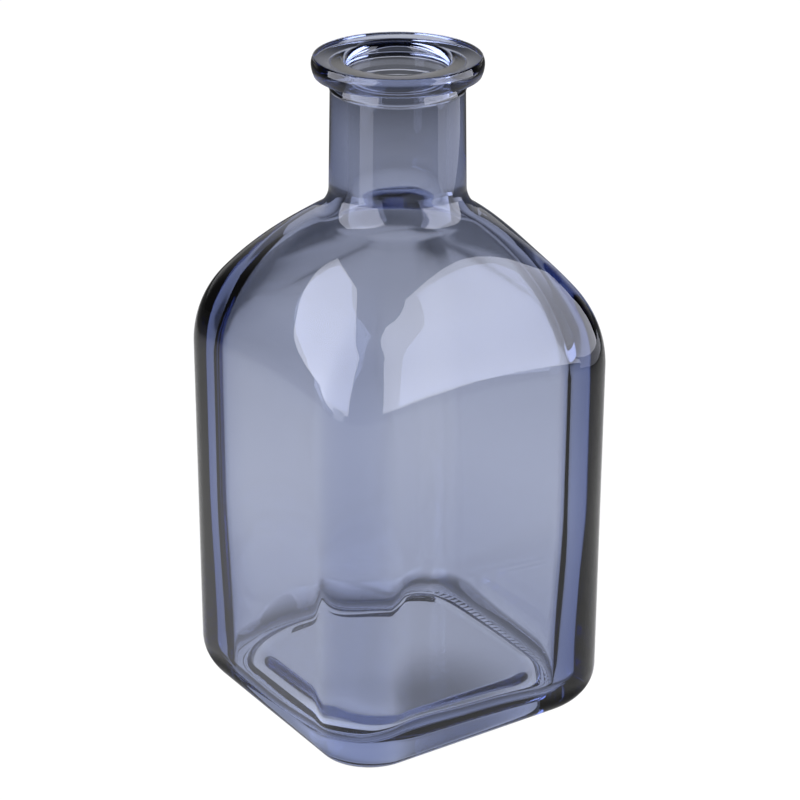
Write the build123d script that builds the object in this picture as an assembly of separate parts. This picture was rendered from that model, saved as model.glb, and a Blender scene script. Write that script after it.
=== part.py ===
from build123d import *
import math
import os

# Square bottle vase, blown in one piece of tinted glass, in millimetres.
# It stands on the plane Z = 0 with its axis on Z, and the flat faces of its body look along X and Y.

# Body: a square prism with rounded upright edges.
body_side = 60.0
body_height = 68.7
body_corner_radius = 9.0

# Heel: the outer wall rolls in to the base on a quarter ellipse, and the base has rounder corners than the body.
heel_height = 7.5
heel_inset = 4.2
base_corner_radius = 10.0

# Shoulder, as it is seen across two opposite corners: a tight arc, a wide arc and a hollow fillet at the neck.
# The bow is how far the wide arc turns beyond a straight slope from the tight arc to the neck's root.
shoulder_rise = 29.2
shoulder_arc_radius = 21.1
shoulder_bow_angle = 7.3
neck_root_fillet = 5.5

# The upright corners run on up the shoulder as hips, tighter halfway, and the faces swell between them.
hip_tightening = 5.6
face_swell_angle = 40.0

# Neck: slightly conical outside.
neck_length = 24.1
neck_root_radius = 12.45
neck_top_radius = 12.05

# Lip: a flat flange with lightly broken edges and a top that is dished toward the mouth.
lip_thickness = 3.3
lip_radius = 15.4
lip_edge_bevel = 0.4
lip_dish_depth = 0.5

# Mouth: a straight bore that takes a cork, flared at its entry, and a slightly wider throat below it.
bore_radius = 9.25
bore_entry_width = 1.2
bore_entry_depth = 1.4
throat_length = 6.0
throat_relief = 0.35

# Glass thickness, greater in the upright corners, whose inside is as round as their outside, and the inner floor.
body_wall = 2.8
inner_corner_radius = 9.0
base_thickness = 5.0
floor_edge_bevel = 2.0

# Hollow pushed up under the base, inside the narrow ring that the bottle stands on.
bearing_ring_width = 2.6
push_up_depth = 2.4
push_up_run = 1.2

# Places of the levels along the heel and along each stretch of the shoulder, from the bottom up.
heel_level_shares = (0.0, 0.2, 0.4, 0.6, 0.8, 1.0)
arc_level_shares = (0.0, 0.25, 0.5, 0.75, 1.0)
fillet_level_shares = (0.0, 0.25, 0.5, 0.75, 1.0)

# How far a cut runs past the face that it opens.
overrun = 1.0

# Heights that the sizes above stack up to.
neck_root_height = body_height + shoulder_rise
lip_foot_height = neck_root_height + neck_length
overall_height = lip_foot_height + lip_thickness

ROOT_TWO = math.sqrt(2.0)


def half_diagonal(side, corner):
    """Distance from the axis to the middle of a rounded corner of a square."""
    return (side / 2 - corner) * ROOT_TWO + corner


def slope_tilt(diagonal, neck, arc, rise):
    """Turn from upright at which a straight slope leaves the tight arc tangentially and aims at the neck's root."""
    across = neck - diagonal + arc
    return math.atan2(rise, across) - math.acos(arc / math.hypot(across, rise))


def fillet_top(root, hollow):
    """Height at which the shoulder's hollow fillet has turned into the upright neck."""
    return root + hollow * math.tan(shoulder_tilt / 2)


def shoulder_stretches(diagonal, neck, arc, root, hollow):
    """Height and half-diagonal of each level up the shoulder: along its tight arc, its wide arc and its fillet.

    The tight arc leaves the upright body tangentially. The wide arc goes on from it and reaches the shoulder's tilt
    where the fillet begins, and its radius follows from where both of its ends have to lie.
    """
    top = fillet_top(root, hollow)
    fillet_levels = []
    for share in fillet_level_shares:
        turn = (1 - share) * shoulder_tilt
        fillet_levels.append((top - hollow * math.sin(turn), neck + hollow * (1 - math.cos(turn))))
    head, head_diagonal = fillet_levels[0]
    across = head_diagonal - diagonal + arc
    rise = head - body_height
    lean = across * math.cos(shoulder_tilt) + rise * math.sin(shoulder_tilt)
    wide = (across**2 + rise**2 - arc**2) / (2 * (lean - arc))
    joint = math.atan2(wide * math.sin(shoulder_tilt) - rise, wide * math.cos(shoulder_tilt) - across)
    tight_levels = []
    wide_levels = []
    for share in arc_level_shares:
        turn = share * joint
        tight_levels.append((body_height + arc * math.sin(turn), diagonal - arc * (1 - math.cos(turn))))
        turn = joint + share * (shoulder_tilt - joint)
        wide_levels.append((head + wide * (math.sin(turn) - math.sin(shoulder_tilt)),
                            head_diagonal + wide * (math.cos(turn) - math.cos(shoulder_tilt))))
    return tight_levels, wide_levels, fillet_levels


def level_outline(height, diagonal, corner, swell):
    """Closed outline at one height: four corner arcs, joined by four face arcs that meet them tangentially."""
    centre = (diagonal - corner) / ROOT_TWO
    near = centre + corner * math.sin(swell)
    far = centre + corner * math.cos(swell)
    face_middle = corner + centre * (1 + math.tan(swell / 2))
    corner_middle = diagonal / ROOT_TWO
    if swell > 0:
        face_edge = ThreePointArc((far, -near), (face_middle, 0), (far, near))
    else:
        face_edge = Line((far, -near), (far, near))
    corner_edge = ThreePointArc((far, near), (corner_middle, corner_middle), (near, far))
    edges = []
    for quarter in range(4):
        turned = Rot(0, 0, 90 * quarter)
        edges += [turned * face_edge, turned * corner_edge]
    return Pos(0, 0, height) * make_face(edges)


def shoulder(diagonal, corner, neck, arc, root, hollow):
    """Solid of the shoulder, from the square body up to the round neck, lofted one stretch after another."""
    solid = Part()
    for levels in shoulder_stretches(diagonal, neck, arc, root, hollow):
        outlines = []
        for height, reach in levels:
            share = (diagonal - reach) / (diagonal - neck)
            hip = corner + share * (neck - corner) - 4 * share * (1 - share) * hip_tightening
            outlines.append(level_outline(height, reach, hip, share * math.radians(face_swell_angle)))
        solid += loft(outlines)
    return solid


def prism(side, corner, foot, head):
    """Square prism with rounded upright edges between two heights."""
    return Pos(0, 0, foot) * extrude(RectangleRounded(side, side, corner), amount=head - foot)


# Outer form: the heel, the upright body and the shoulder.
heel_outlines = []
for share in heel_level_shares:
    turn = share * math.pi / 2
    inset = heel_inset * (1 - math.sin(turn))
    corner = body_corner_radius + (base_corner_radius - body_corner_radius) * (1 - math.sin(turn))
    heel_outlines.append(level_outline(heel_height * (1 - math.cos(turn)),
                                       half_diagonal(body_side - 2 * inset, corner), corner, 0))
heel = loft(heel_outlines)
body = prism(body_side, body_corner_radius, heel_height, body_height)
body_diagonal = half_diagonal(body_side, body_corner_radius)
straight_tilt = slope_tilt(body_diagonal, neck_root_radius, shoulder_arc_radius, shoulder_rise)
shoulder_tilt = straight_tilt + math.radians(shoulder_bow_angle)
outer_shoulder = shoulder(body_diagonal, body_corner_radius, neck_root_radius, shoulder_arc_radius,
                          neck_root_height, neck_root_fillet)

# Neck and lip, turned about the axis: a slight cone, a flat under-face, an upright side and the dished top.
neck_foot_height = fillet_top(neck_root_height, neck_root_fillet)
entry_radius = bore_radius + bore_entry_width
dish_height = overall_height - lip_dish_depth
finish_outline = Polyline((0, neck_foot_height), (neck_root_radius, neck_foot_height),
                          (neck_top_radius, lip_foot_height), (lip_radius - lip_edge_bevel, lip_foot_height),
                          (lip_radius, lip_foot_height + lip_edge_bevel),
                          (lip_radius, overall_height - lip_edge_bevel),
                          (lip_radius - lip_edge_bevel, overall_height), (entry_radius, dish_height),
                          (0, dish_height), close=True)
finish = revolve(Plane.XZ * make_face(finish_outline), Axis.Z)

# Inner form: the same levels set in by the wall, with a flat floor that is bevelled into the wall.
inner_side = body_side - 2 * body_wall
inner_diagonal = half_diagonal(inner_side, inner_corner_radius)
inner_arc_radius = shoulder_arc_radius - (body_diagonal - inner_diagonal)
throat_radius = bore_radius + throat_relief
throat_wall = neck_root_radius - throat_radius
inner_root_height = neck_root_height + (throat_wall * math.cos(shoulder_tilt) - body_wall) / math.sin(shoulder_tilt)
inner_fillet = neck_root_fillet + throat_wall
inner_body = prism(inner_side, inner_corner_radius, base_thickness, body_height)
inner_body = chamfer(inner_body.edges().group_by(Axis.Z)[0], floor_edge_bevel)
inner_shoulder = shoulder(inner_diagonal, inner_corner_radius, throat_radius, inner_arc_radius, inner_root_height,
                          inner_fillet)

# Throat and bore, turned about the axis, with a flared entry.
throat_foot_height = fillet_top(inner_root_height, inner_fillet)
throat_head_height = throat_foot_height + throat_length
bore_outline = Polyline((0, throat_foot_height), (throat_radius, throat_foot_height),
                        (throat_radius, throat_head_height), (bore_radius, throat_head_height + throat_relief),
                        (bore_radius, dish_height - bore_entry_depth), (entry_radius, dish_height),
                        (entry_radius, overall_height + overrun), (0, overall_height + overrun), close=True)
bore = revolve(Plane.XZ * make_face(bore_outline), Axis.Z)

# Hollow under the base: a shallow square dish with steep sides.
push_up_side = body_side - 2 * (heel_inset + bearing_ring_width)
push_up_mouth = RectangleRounded(push_up_side, push_up_side, base_corner_radius)
push_up_roof = RectangleRounded(push_up_side - 2 * push_up_run, push_up_side - 2 * push_up_run,
                                base_corner_radius - push_up_run)
push_up = loft([push_up_mouth, Pos(0, 0, push_up_depth) * push_up_roof], ruled=True)

bottle = heel + body + outer_shoulder + finish
bottle = bottle - (inner_body + inner_shoulder + bore) - push_up

os.makedirs("parts", exist_ok=True)
export_step(bottle, "parts/glass_bottle.step")
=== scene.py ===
import math

import bpy
import numpy as np
from mathutils import Matrix, Vector


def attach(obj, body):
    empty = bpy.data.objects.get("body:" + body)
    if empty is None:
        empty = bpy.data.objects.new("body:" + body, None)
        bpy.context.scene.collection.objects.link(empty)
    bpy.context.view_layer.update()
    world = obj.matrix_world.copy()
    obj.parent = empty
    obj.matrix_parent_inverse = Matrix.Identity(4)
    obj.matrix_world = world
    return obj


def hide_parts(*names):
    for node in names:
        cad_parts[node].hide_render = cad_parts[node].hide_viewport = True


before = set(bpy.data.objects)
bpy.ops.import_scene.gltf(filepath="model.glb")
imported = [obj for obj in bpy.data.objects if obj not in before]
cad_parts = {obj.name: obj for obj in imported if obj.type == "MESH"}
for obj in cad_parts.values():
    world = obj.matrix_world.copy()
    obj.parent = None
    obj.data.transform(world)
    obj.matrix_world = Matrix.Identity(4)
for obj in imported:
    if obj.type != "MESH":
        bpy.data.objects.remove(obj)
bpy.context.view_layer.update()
scene = bpy.context.scene
scene.view_settings.view_transform = "Standard"

# Glass bottle.
# The whole vessel is one piece of smoke-tinted glass: base, body, shoulder, neck and lip in a single skin.
# It is moulded and blown, and stands on a ring, knurled on one side, round the hollow of its base.

# Sizes are in millimetres, and each floor wave is a place on X and Y, a height and a spread.
MILLIMETRE = 0.001
ROOT_TWO = math.sqrt(2.0)

body_half = 30.0
body_top = 68.7
body_corner = 9.0
heel_height = 7.5
heel_inset = 4.2
base_corner = 10.0
shoulder_rise = 29.2
shoulder_arc = 21.1
slope = math.radians(62.7)
root_fillet = 5.5
hip_tightening = 5.6
face_swell = math.radians(40.0)
neck_length = 24.4
neck_root_radius = 12.45
neck_top_radius = 12.05
lip_thickness = 3.3
lip_radius = 15.4
lip_top_edge = 15.15
lip_top_round = 0.3
lip_bulge_drop = 1.3
lip_foot_edge = 15.0
lip_foot_round = 0.2
lip_root_fillet = 0.6
bead_head = 0.7
bead_foot = 2.4
bead_edge = 0.3
bead_height = 0.2
bead_shift = 0.6
dish_depth = 0.5
bore_radius = 9.15
bore_entry_width = 1.2
bore_entry_depth = 1.4
throat_relief = -0.2
wall = 2.8
inner_corners = (6.0, 14.0, 10.0, 12.5)
inner_hip_tightening = 1.0
floor_groove = 4.5
floor_roll_height = 2.6
floor_roll_inset = 2.5
floor_rise = 1.5
floor_step_half = 19.0
floor_step_rise = 0.35
floor_step_run = 2.2
floor_dome = 0.2
floor_tilt = 0.032
wall_heaviness = 0.9
heavy_height = 34.0
ring_width = 3.4
push_up_wall = 3.5
push_up_run = 0.3
push_up_rise = 0.3
push_up_half = 18.0
push_up_dome = 0.3
push_up_drop = 0.009
push_up_shift = 1.0
knurl_pitch = 1.4
knurl_depth = 0.35
lip_lean = 0.024
lean_azimuth = math.radians(33.7)
wave_fade = 18.0
floor_waves = (
    (-14.0, -28.0, 2.4, 8.0), (4.0, -28.0, 1.4, 8.0), (-28.0, -2.0, -0.8, 8.0), (-6.5, 28.0, 5.0, 5.0),
    (6.0, 28.0, 4.0, 6.0), (20.0, 28.0, 2.0, 7.0), (28.0, 17.0, 2.5, 7.0), (28.0, -16.0, -0.8, 8.0),
)
wave_half = 19.0
underside_pole_half = 1.4
floor_pole_half = 1.0
roll_corner_share = 0.8

face_columns = 30
corner_columns = 20


def half_diagonal(half, corner):
    """Distance from the axis to the middle of a rounded corner of a square with this half side."""
    return (half - corner) * ROOT_TWO + corner


def stretch(height, reach, corner, swell):
    """One stretch of the bottle's profile: columns of height, half-diagonal, corner radius and face swell."""
    parts = np.broadcast_arrays(*(np.asarray(part, float) for part in (height, reach, corner, swell)))
    return np.stack(parts, axis=-1)


def round_stretch(radius, height):
    """A stretch turned about the axis: its corners have the full radius and its faces swell to meet them."""
    return stretch(height, radius, radius, face_swell)


def square_stretch(half, corner, height):
    """A stretch with flat faces, given by its half side and its corner radius."""
    return stretch(height, (np.asarray(half) - corner) * ROOT_TWO + corner, corner, 0.0)


def quarter(count):
    """Angles over a quarter turn, evenly spaced."""
    return np.linspace(0.0, math.pi / 2, count)


def ease(share):
    """Smooth step: three times the square of the share less twice its cube, level at both ends."""
    share = np.clip(share, 0.0, 1.0)
    return share**2 * (3 - 2 * share)


def shoulder_stretch(reach, corner, neck, arc, root, hollow, tightening, counts):
    """Shoulder from the square body up to the round neck, as it is seen across two corners: a tight arc, a
    wide arc that goes on from it tangentially to the slope's tilt, and a hollow fillet up to the neck. On the
    way the corner radius goes from the body's to the neck's, tightened halfway, and the faces swell."""
    fillet_turn = np.linspace(slope, 0.0, counts[2])
    hollow_diagonal = neck + hollow * (1 - np.cos(fillet_turn))
    hollow_height = root + hollow * (math.tan(slope / 2) - np.sin(fillet_turn))
    out = hollow_diagonal[0] - (reach - arc)
    up = hollow_height[0] - body_top
    wide = (out**2 + up**2 - arc**2) / (2 * (out * math.cos(slope) + up * math.sin(slope) - arc))
    joint = math.atan2(wide * math.sin(slope) - up, wide * math.cos(slope) - out)
    tight_turn = np.linspace(0.0, joint, counts[0])[:-1]
    wide_turn = np.linspace(joint, slope, counts[1])[:-1]
    diagonal = np.concatenate([
        reach - arc * (1 - np.cos(tight_turn)),
        hollow_diagonal[0] + wide * (np.cos(wide_turn) - math.cos(slope)), hollow_diagonal])
    height = np.concatenate([
        body_top + arc * np.sin(tight_turn),
        hollow_height[0] + wide * (np.sin(wide_turn) - math.sin(slope)), hollow_height])
    share = (reach - diagonal) / (reach - neck)
    radius = corner + share * (neck - corner) - 4 * share * (1 - share) * tightening
    return stretch(height, diagonal, radius, share * face_swell)


def corner_and_face(levels, along_corner, along_face):
    """Points of one corner and of the face before it, both in the corner's own quarter, for one profile. A
    face is an arc of the swell angle each side of its middle, and a corner is the arc that meets two faces
    tangentially."""
    height, reach, corner, swell = (levels[:, k, None] for k in range(4))
    swell = np.maximum(swell, 1e-5)
    centre = (reach - corner) / ROOT_TWO
    near = centre + corner * np.sin(swell)
    far = centre + corner * np.cos(swell)
    bend = near / np.sin(swell)
    turn = swell + along_corner * (math.pi / 2 - 2 * swell)
    face = [far + bend * (np.cos(swell * along_face) - np.cos(swell)), bend * np.sin(swell * along_face)]
    edge = [centre + corner * np.cos(turn), centre + corner * np.sin(turn)]
    return tuple(np.stack([x, y, np.broadcast_to(height, x.shape)], axis=-1) for x, y in (edge, face))


def rings(levels, finer=1):
    """Points of level outlines, one row for each level. A column keeps its place along a face, from -1 to 1,
    or along a corner, from 0 to 1. Each corner can have a profile of its own, and a face passes smoothly from
    the profile of the corner before it to that of the corner after it. Four quarters follow each other."""
    levels = levels if levels.ndim == 3 else np.repeat(levels[:, None], 4, axis=1)
    along_face = np.arange(face_columns * finer) / (face_columns * finer) * 2 - 1
    along_corner = np.arange(corner_columns * finer) / (corner_columns * finer)
    passed = (0.5 + 0.75 * along_face - 0.25 * along_face**3)[:, None]
    made = [corner_and_face(levels[:, k], along_corner, along_face) for k in range(4)]
    quarters = []
    for k in range(4):
        face = (1 - passed) * made[k - 1][1] + passed * made[k][1]
        x, y, z = np.moveaxis(np.concatenate([face, made[k][0]], axis=1), -1, 0)
        x, y = ((x, y), (-y, x), (-x, -y), (y, -x))[k]
        quarters.append(np.stack([x, y, z], axis=-1))
    return np.concatenate(quarters, axis=1)


neck_root = body_top + shoulder_rise
lip_foot = neck_root + neck_length
mouth_height = lip_foot + lip_thickness

# Underside: the hollow of the base out to the knurled ring, with a steep edge, a slope and a shallow dome.
hollow_half = body_half - heel_inset - ring_width
roof_half = hollow_half - push_up_run
dish_half = np.concatenate([np.linspace(underside_pole_half, roof_half, 16),
                            np.linspace(roof_half, hollow_half, 9)[1:]])
dish_wall = np.clip((hollow_half - dish_half) / push_up_run, 0.0, 1.0)
dish_slope = np.clip((roof_half - dish_half) / (roof_half - push_up_half), 0.0, 1.0)
dish_dome = 1 - np.clip(dish_half / push_up_half, 0.0, 1.0) ** 2
underside = square_stretch(dish_half, base_corner * dish_half / hollow_half,
                           push_up_wall * dish_wall + push_up_rise * dish_slope + push_up_dome * dish_dome)

# Outside: heel, body, shoulder, neck and lip.
ring_half = np.linspace(hollow_half, body_half - heel_inset, 8)[1:-1]
ring = square_stretch(ring_half, base_corner, 0.0)
roll = quarter(17)
heel_share = 1 - np.sin(roll)
heel = square_stretch(body_half - heel_inset * heel_share,
                      body_corner + (base_corner - body_corner) * heel_share,
                      heel_height * (1 - np.cos(roll)))
body = square_stretch(body_half, body_corner, np.linspace(heel_height, body_top, 25)[1:-1])
body_reach = half_diagonal(body_half, body_corner)
shoulder = shoulder_stretch(body_reach, body_corner, neck_root_radius, shoulder_arc, neck_root, root_fillet,
                            hip_tightening, (24, 18, 18))
neck_foot = shoulder[-1, 0]
neck_height = np.concatenate([np.linspace(neck_foot, lip_foot - 2 * bead_foot, 30)[1:],
                              np.linspace(lip_foot - 2 * bead_foot, lip_foot - lip_root_fillet, 37)[1:]])
neck_radius = np.interp(neck_height, [neck_foot, lip_foot], [neck_root_radius, neck_top_radius])


def bead_at(height):
    """Share of the neck ring's full height: it widens downward as a cone and steps back at its lower edge."""
    below_lip = lip_foot - height
    cone = np.clip((below_lip - bead_head) / (bead_foot - bead_head), 0.0, 1.0)
    return cone * np.clip((bead_foot + bead_edge - below_lip) / bead_edge, 0.0, 1.0)


neck = round_stretch(neck_radius + bead_height * bead_at(neck_height), neck_height)
under_lip = quarter(7)[1:]
lip_root = round_stretch(neck_radius[-1] + lip_root_fillet * (1 - np.cos(under_lip)),
                         lip_foot - lip_root_fillet * (1 - np.sin(under_lip)))
lip_turn = quarter(7)
lip_bulge = mouth_height - lip_bulge_drop
lip_edge_foot = round_stretch(lip_foot_edge - lip_foot_round * (1 - np.sin(lip_turn)),
                              lip_foot + lip_foot_round * (1 - np.cos(lip_turn)))
side_run = np.linspace(-1.0, 1.0, 21)[1:-1]
side_edge = np.where(side_run < 0, lip_foot_edge, lip_top_edge)
side_height = np.where(side_run < 0, lip_bulge - lip_foot - lip_foot_round, lip_bulge_drop - lip_top_round)
lip_side = round_stretch(lip_radius - (lip_radius - side_edge) * side_run**2,
                         lip_bulge + side_height * side_run)
lip_edge_top = round_stretch(lip_top_edge - lip_top_round * (1 - np.cos(lip_turn)),
                             mouth_height - lip_top_round * (1 - np.sin(lip_turn)))
dish_run = np.linspace(0.0, 1.0, 14)[1:-1]
dish_inner = bore_radius + bore_entry_width
lip_top = round_stretch(lip_edge_top[-1, 1] + dish_run * (dish_inner - lip_edge_top[-1, 1]),
                        mouth_height - dish_depth * dish_run**1.5)

# Inside: mouth, throat, inner shoulder, inner wall and floor. Each corner has its own radius there.
inner_half = body_half - wall
throat_radius = bore_radius + throat_relief
throat_wall = neck_root_radius - throat_radius
inner_root = neck_root + (throat_wall * math.cos(slope) - wall) / math.sin(slope)
entry = quarter(11)
mouth = round_stretch(bore_radius + bore_entry_width * (1 - np.sin(entry)),
                      mouth_height - dish_depth - bore_entry_depth * (1 - np.cos(entry)))
floor_roll_top = floor_groove + floor_roll_height
roll = quarter(19)
roll_half = inner_half - wall_heaviness - floor_roll_inset * (1 - np.cos(roll))
floor_half = np.concatenate([np.linspace(roll_half[-1], floor_step_half + floor_step_run, 12)[1:],
                             floor_step_half + floor_step_run * (1 - np.linspace(0.0, 1.0, 9)[1:]),
                             np.linspace(floor_step_half, floor_pole_half, 16)[1:]])
floor_slope = (roll_half[-1] - floor_half) / (roll_half[-1] - floor_step_half)
floor_step = ease((floor_step_half + floor_step_run - floor_half) / floor_step_run)
floor_height = (floor_groove + floor_rise * np.clip(floor_slope, 0.0, 1.0)
                + floor_step_rise * floor_step
                + floor_dome * (1 - np.clip(floor_half / floor_step_half, 0.0, 1.0) ** 2))


def inside_of(corner):
    """Profile of the inside at a corner of this radius: bore, throat, shoulder, wall, roll and floor."""
    reach = half_diagonal(inner_half, corner)
    inner_shoulder = shoulder_stretch(reach, corner, throat_radius, shoulder_arc - (body_reach - reach),
                                      inner_root, root_fillet + throat_wall, inner_hip_tightening,
                                      (24, 18, 18))
    bore_height = np.concatenate([
        np.linspace(mouth_height - dish_depth - bore_entry_depth, lip_foot - 2 * bead_foot, 36)[1:],
        np.linspace(lip_foot - 2 * bead_foot, inner_shoulder[-1, 0], 18)[1:-1]])
    bore_run = (bore_height[0] - bore_height) / (bore_height[0] - bore_height[-1])
    bore = round_stretch(bore_radius + throat_relief * ease(bore_run)
                         + bead_height * bead_at(bore_height + bead_shift), bore_height)
    body_height = np.linspace(body_top, floor_roll_top, 41)[1:-1]
    heavy = ease(1 - (body_height - floor_roll_top) / heavy_height)
    inner_body = square_stretch(inner_half - wall_heaviness * heavy, corner, body_height)
    roll_corner = corner - min(floor_roll_inset, corner) * roll_corner_share * (1 - np.cos(roll))
    floor_roll = square_stretch(roll_half, roll_corner, floor_roll_top - floor_roll_height * np.sin(roll))
    floor = square_stretch(floor_half, roll_corner[-1] * floor_half / roll_half[-1], floor_height)
    return np.concatenate([bore, inner_shoulder[::-1], inner_body, floor_roll, floor])


inside = np.stack([inside_of(corner) for corner in inner_corners], axis=1)

def toward_back(points):
    """Distance from the front of the hollow toward the back, measured away from the side the lip leans to."""
    x, y, z = np.moveaxis(points, -1, 0)
    return x * math.sin(lean_azimuth) + y * math.cos(lean_azimuth) + hollow_half


under_points = rings(underside)
under_points[..., 2] *= 1 - push_up_drop * toward_back(under_points)
under_points[..., 0] += push_up_shift * math.sin(lean_azimuth)
under_points[..., 1] += push_up_shift * math.cos(lean_azimuth)
ring_points = rings(ring, finer=4)
x, y, z = np.moveaxis(ring_points, -1, 0)
across = np.linspace(0.0, 1.0, ring_points.shape[0] + 2)[1:-1, None]
knurl = np.where(x > np.abs(y), np.sin(y * 2 * math.pi / knurl_pitch), 0.0)
ring_points[..., 2] += knurl_depth * np.clip(knurl, 0.0, 1.0) * 4 * across * (1 - across)
outside = np.concatenate([heel, body, shoulder, neck, lip_root, lip_edge_foot, lip_side, lip_edge_top,
                          lip_top, mouth])
inside_points = rings(inside)
x, y, z = np.moveaxis(inside_points, -1, 0)
near_floor = ease(1 - (z - floor_roll_top) / wave_fade)
waves = sum(height * np.exp(-((x - middle)**2 + (y - side)**2) / (2 * spread**2))
            for middle, side, height, spread in floor_waves)
near_wall = ease((np.maximum(np.abs(x), np.abs(y)) - wave_half) / (inner_half - wave_half))
inside_points[..., 2] += near_floor * (near_wall * waves - floor_tilt * toward_back(inside_points))
skin_points = np.concatenate([rings(outside), inside_points])
x, y, z = np.moveaxis(skin_points, -1, 0)
toward_front = -(x * math.sin(lean_azimuth) + y * math.cos(lean_azimuth))
up_neck = ease((z - neck_foot) / (lip_foot - neck_foot))
skin_points[..., 2] -= up_neck * lip_lean * (toward_front + lip_radius)

points = np.concatenate([under_points[:1].mean(axis=1), under_points.reshape(-1, 3),
                         ring_points.reshape(-1, 3), skin_points.reshape(-1, 3),
                         skin_points[-1:].mean(axis=1)])


def quads_between(first, rows, columns):
    """Quads of a grid of rows that are each closed round the axis, the first point being number first."""
    index = first + np.arange(rows * columns).reshape(rows, columns)
    beside = np.roll(index, -1, axis=1)
    return np.stack([index[:-1], beside[:-1], beside[1:], index[1:]], axis=-1).reshape(-1, 4)


def fan(centre, first, columns):
    """Triangles from one point to a closed row."""
    index = first + np.arange(columns)
    return np.stack([np.full(columns, centre), np.roll(index, -1), index], axis=-1)


def strip(coarse, fine, columns):
    """Triangles between a closed row and the next one, which has four points for each of its own."""
    own = coarse + np.arange(columns)
    after = np.roll(own, -1)
    near = [fine + (4 * np.arange(columns) + k) % (4 * columns) for k in range(5)]
    corners = [(own, near[1], near[0]), (own, near[2], near[1]), (own, after, near[2]),
               (after, near[3], near[2]), (after, near[4], near[3])]
    return np.concatenate([np.stack(corner, axis=-1) for corner in corners])


columns = 4 * (face_columns + corner_columns)
ring_first = 1 + under_points.shape[0] * columns
skin_first = ring_first + ring_points.shape[0] * 4 * columns
skin_last = skin_first + (skin_points.shape[0] - 1) * columns
quads = np.concatenate([quads_between(1, under_points.shape[0], columns),
                        quads_between(ring_first, ring_points.shape[0], 4 * columns),
                        quads_between(skin_first, skin_points.shape[0], columns)])
triangles = np.concatenate([
    fan(0, 1, columns),
    strip(ring_first - columns, ring_first, columns)[:, ::-1],
    strip(skin_first, skin_first - 4 * columns, columns),
    fan(len(points) - 1, skin_last, columns)[:, ::-1],
])

mesh = bpy.data.meshes.new("glass_bottle_skin")
mesh.from_pydata((points * MILLIMETRE).tolist(), [], quads.tolist() + triangles.tolist())
mesh.shade_smooth()
mesh.validate()
bottle = bpy.data.objects.new("glass_bottle_skin", mesh)
scene.collection.objects.link(bottle)

smoke_glass = bpy.data.materials.new("smoke_glass")
smoke_glass.use_nodes = True
nodes = smoke_glass.node_tree.nodes
links = smoke_glass.node_tree.links
shader = nodes["Principled BSDF"]
shader.inputs["Base Color"].default_value = (1.0, 1.0, 1.0, 1.0)
shader.inputs["Roughness"].default_value = 0.0
shader.inputs["IOR"].default_value = 1.5
shader.inputs["Transmission Weight"].default_value = 1.0
tint = nodes.new("ShaderNodeVolumeAbsorption")
tint.inputs["Color"].default_value = (0.206, 0.306, 0.6, 1.0)
tint.inputs["Density"].default_value = 160.0
links.new(tint.outputs["Volume"], nodes["Material Output"].inputs["Volume"])
bottle.data.materials.append(smoke_glass)

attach(bottle, "root")
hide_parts("glass_bottle")

# Floor.
# A flat table top, painted white and matt, that the bottle stands on. It is white to the camera.
# In and through the glass it is darker, with a painted pool of light, painted shade under the base and a
# painted shadow line where the base meets the table.

table_half_side = 4.0
table_gap = 0.00005
table_signs = ((-1, -1), (1, -1), (1, 1), (-1, 1))
table_corners = [(x * table_half_side, y * table_half_side, -table_gap) for x, y in table_signs]
table = bpy.data.meshes.new("table_top")
table.from_pydata(table_corners, [], [(0, 1, 2, 3)])
table_top = bpy.data.objects.new("table_top", table)
scene.collection.objects.link(table_top)
# Its glow is white to the camera and carries the painted light and painted shade that the glass sees.
white_paint_and_painted_light = bpy.data.materials.new("white_paint_and_painted_light")
white_paint_and_painted_light.use_nodes = True
nodes = white_paint_and_painted_light.node_tree.nodes
links = white_paint_and_painted_light.node_tree.links
paint = nodes["Principled BSDF"]
paint.inputs["Base Color"].default_value = (0.04, 0.04, 0.04, 1.0)
paint.inputs["Roughness"].default_value = 0.9
paint.inputs["Specular IOR Level"].default_value = 0.1
paint.inputs["Emission Color"].default_value = (1.0, 1.0, 1.0, 1.0)


def step(tree, kind, operation, *sources):
    """A Math or Vector Math node. A source is another node's output, or a constant for that input."""
    node = tree.nodes.new(kind)
    node.operation = operation
    for socket, source in zip(node.inputs, sources):
        if isinstance(source, bpy.types.NodeSocket):
            tree.links.new(source, socket)
        else:
            socket.default_value = source
    return node.outputs["Value"] if operation in ("LENGTH", "DISTANCE", "DOT_PRODUCT") else node.outputs[0]


def eased(tree, source, start, end, first, last):
    """A smooth step of a value, from the first level at the start to the last level at the end."""
    node = tree.nodes.new("ShaderNodeMapRange")
    node.interpolation_type = "SMOOTHSTEP"
    node.inputs["From Min"].default_value = start
    node.inputs["From Max"].default_value = end
    node.inputs["To Min"].default_value = first
    node.inputs["To Max"].default_value = last
    tree.links.new(source, node.inputs["Value"])
    return node.outputs["Result"]


tree = white_paint_and_painted_light.node_tree
place = nodes.new("ShaderNodeTexCoord").outputs["Object"]

# Painted pool of light: brightness by distance from the bottle's axis.
pool_ramp = (
    (0.0, 0.76), (0.022, 0.76), (0.05, 0.68), (0.11, 0.78), (0.16, 0.64), (0.22, 0.55), (0.3, 0.48),
    (0.36, 0.05), (1.0, 0.07),
)
pool = nodes.new("ShaderNodeValToRGB")
pool.color_ramp.interpolation = "B_SPLINE"
for distance, level in pool_ramp[1:-1]:
    pool.color_ramp.elements.new(distance).color = (level, level, level, 1.0)
pool.color_ramp.elements[0].color = (pool_ramp[0][1],) * 3 + (1.0,)
pool.color_ramp.elements[-1].color = (pool_ramp[-1][1],) * 3 + (1.0,)
links.new(step(tree, "ShaderNodeVectorMath", "LENGTH", place), pool.inputs["Fac"])
lit = pool.outputs["Color"]
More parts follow.
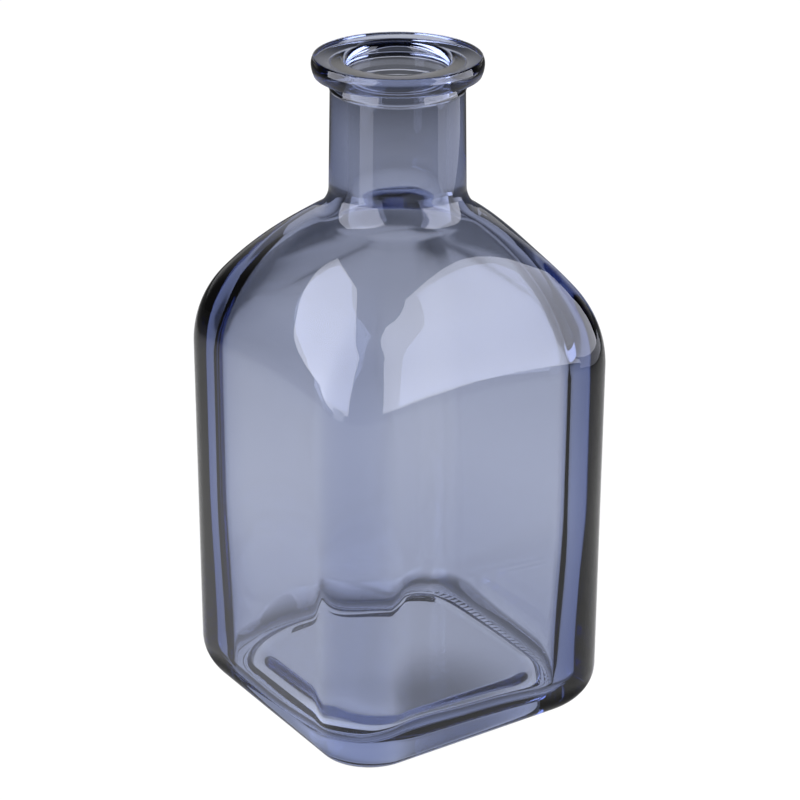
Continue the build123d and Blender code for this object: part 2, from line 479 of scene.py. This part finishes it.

# Painted shade under the base, as round patches, each with its place, its reach and how much it takes away,
# or adds below zero as painted light.
painted_shade_and_light_spots = ((0.004, -0.011, 0.02, 0.6), (-0.006, -0.009, 0.014, 0.4), (-0.019, -0.008, 0.014, -0.6))
for middle, side, reach, depth in painted_shade_and_light_spots:
    apart = step(tree, "ShaderNodeVectorMath", "DISTANCE", place, (middle, side, 0.0))
    lit = step(tree, "ShaderNodeMath", "MULTIPLY", lit, eased(tree, apart, 0.0, reach, 1.0 - depth, 1.0))

# Painted shadow line: darker along a rounded square that the base covers, where the base meets the table.
contact_half = 0.03
contact_corner = 0.009
contact_reach = 0.007
contact_depth = 0.8
square_half = contact_half - contact_corner
folded = step(tree, "ShaderNodeVectorMath", "ABSOLUTE", place)
past_square = step(tree, "ShaderNodeVectorMath", "SUBTRACT", folded, (square_half, square_half, 0.0))
outward = step(tree, "ShaderNodeVectorMath", "MAXIMUM", past_square, (0.0, 0.0, 0.0))
off_corner = step(tree, "ShaderNodeVectorMath", "LENGTH", outward)
off_line = step(tree, "ShaderNodeMath", "SUBTRACT", off_corner, contact_corner)
from_line = step(tree, "ShaderNodeMath", "ABSOLUTE", off_line)
contact_shadow = eased(tree, from_line, 0.0, contact_reach, 1.0 - contact_depth, 1.0)
lit = step(tree, "ShaderNodeMath", "MULTIPLY", lit, contact_shadow)

# The camera sees plain white, and only the glass sees the painted light.
ray = nodes.new("ShaderNodeLightPath")
mirrored = step(tree, "ShaderNodeMath", "MAXIMUM", ray.outputs["Is Glossy Ray"],
                ray.outputs["Is Transmission Ray"])
through = step(tree, "ShaderNodeMath", "MULTIPLY", mirrored, lit)
glow = step(tree, "ShaderNodeMath", "MULTIPLY_ADD", ray.outputs["Is Camera Ray"], 1.0, through)
links.new(glow, paint.inputs["Emission Strength"])
table_top.data.materials.append(white_paint_and_painted_light)

# Surroundings and lamps.
# A plain studio: white to the camera, and to the glass a pale sheet behind the bottle that fades upward.
# Two large soft boxes stand left and right of the bottle, with two low cards below them.

view_azimuth = math.radians(33.705)
world = bpy.data.worlds.new("studio")
world.use_nodes = True
scene.world = world
tree = world.node_tree
nodes = tree.nodes
links = tree.links
ray = nodes.new("ShaderNodeLightPath")
backdrop = nodes["Background"]
backdrop.inputs["Color"].default_value = (1.0, 1.0, 1.0, 1.0)
direction = nodes.new("ShaderNodeTexCoord").outputs["Object"]
back_of_scene = (math.sin(view_azimuth), math.cos(view_azimuth), 0.0)
rearward = step(tree, "ShaderNodeVectorMath", "DOT_PRODUCT", direction, back_of_scene)
height = nodes.new("ShaderNodeSeparateXYZ")
links.new(direction, height.inputs["Vector"])
pale_sheet = eased(tree, rearward, 0.55, 0.9, 0.05, 0.6)
top_edge = eased(tree, height.outputs["Z"], 0.2, 0.42, 1.0, 0.1)
dim = nodes.new("ShaderNodeBackground")
dim.inputs["Color"].default_value = (0.97, 0.97, 1.0, 1.0)
links.new(step(tree, "ShaderNodeMath", "MULTIPLY", pale_sheet, top_edge), dim.inputs["Strength"])
choice = nodes.new("ShaderNodeMixShader")
links.new(ray.outputs["Is Camera Ray"], choice.inputs["Fac"])
links.new(dim.outputs["Background"], choice.inputs[1])
links.new(backdrop.outputs["Background"], choice.inputs[2])
links.new(choice.outputs["Shader"], nodes["World Output"].inputs["Surface"])


def card(name, facing, distance, outline, radiance):
    """An upright glowing card. It faces the bottle from an angle, in degrees to the right of the camera's
    side, at a distance, and its outline is given by sideways places and heights on it."""
    turn = math.radians(facing) - view_azimuth
    corners = [(distance * math.sin(turn) + side * math.cos(turn),
                side * math.sin(turn) - distance * math.cos(turn), height) for side, height in outline]
    sheet = bpy.data.meshes.new(name)
    sheet.from_pydata(corners, [], [tuple(range(len(corners)))])
    glow = bpy.data.materials.new(name)
    glow.use_nodes = True
    tree = glow.node_tree
    tree.nodes.remove(tree.nodes["Principled BSDF"])
    emission = tree.nodes.new("ShaderNodeEmission")
    emission.inputs["Color"].default_value = (0.86, 0.88, 1.0, 1.0)
    emission.inputs["Strength"].default_value = radiance
    tree.links.new(emission.outputs["Emission"], tree.nodes["Material Output"].inputs["Surface"])
    sheet.materials.append(glow)
    stand = bpy.data.objects.new(name, sheet)
    stand.visible_camera = False
    scene.collection.objects.link(stand)


card("soft_box_left", -66.0, 0.45, ((-0.315, 0.015), (0.3, 0.015), (0.44, 0.8), (-0.43, 0.8)), 4.6)
card("soft_box_right", 80.0, 0.45,
     ((-0.38, 0.015), (0.3, 0.015), (0.3, 0.48), (-0.2, 0.82), (-0.215, 0.4)), 4.6)
card("low_card_left", -53.0, 0.34, ((-0.073, 0.0), (0.074, 0.0), (0.074, 0.05), (-0.073, 0.05)), 2.0)
card("low_card_right", 95.0, 0.34, ((-0.16, 0.0), (0.22, 0.0), (0.22, 0.05), (-0.16, 0.05)), 1.5)

# Camera.
# It faces the bottle's front corner from well above the mouth, and looks down at the bottle.

camera_distance = 0.42846
camera_height = 0.2406
camera_pitch = math.radians(22.95)
camera_yaw = math.radians(0.072)
camera_roll = math.radians(0.157)
focal_pixels = 2492.2
picture_pixels = 800
lens = bpy.data.cameras.new("camera")
lens.sensor_width = 36.0
lens.lens = lens.sensor_width * focal_pixels / picture_pixels
lens.clip_start = 0.01
lens.clip_end = 50.0
camera = bpy.data.objects.new("camera", lens)
camera.location = (-camera_distance * math.sin(view_azimuth), -camera_distance * math.cos(view_azimuth),
                   camera_height)
heading = view_azimuth + camera_yaw
aim = Vector((math.sin(heading) * math.cos(camera_pitch), math.cos(heading) * math.cos(camera_pitch),
              -math.sin(camera_pitch)))
aimed = aim.to_track_quat("-Z", "Y").to_matrix() @ Matrix.Rotation(camera_roll, 3, "Z")
camera.rotation_euler = aimed.to_euler()
scene.collection.objects.link(camera)
scene.camera = camera

scene.cycles.max_bounces = 32
scene.cycles.transmission_bounces = 32
scene.cycles.glossy_bounces = 16
scene.cycles.caustics_refractive = False
scene.cycles.caustics_reflective = False
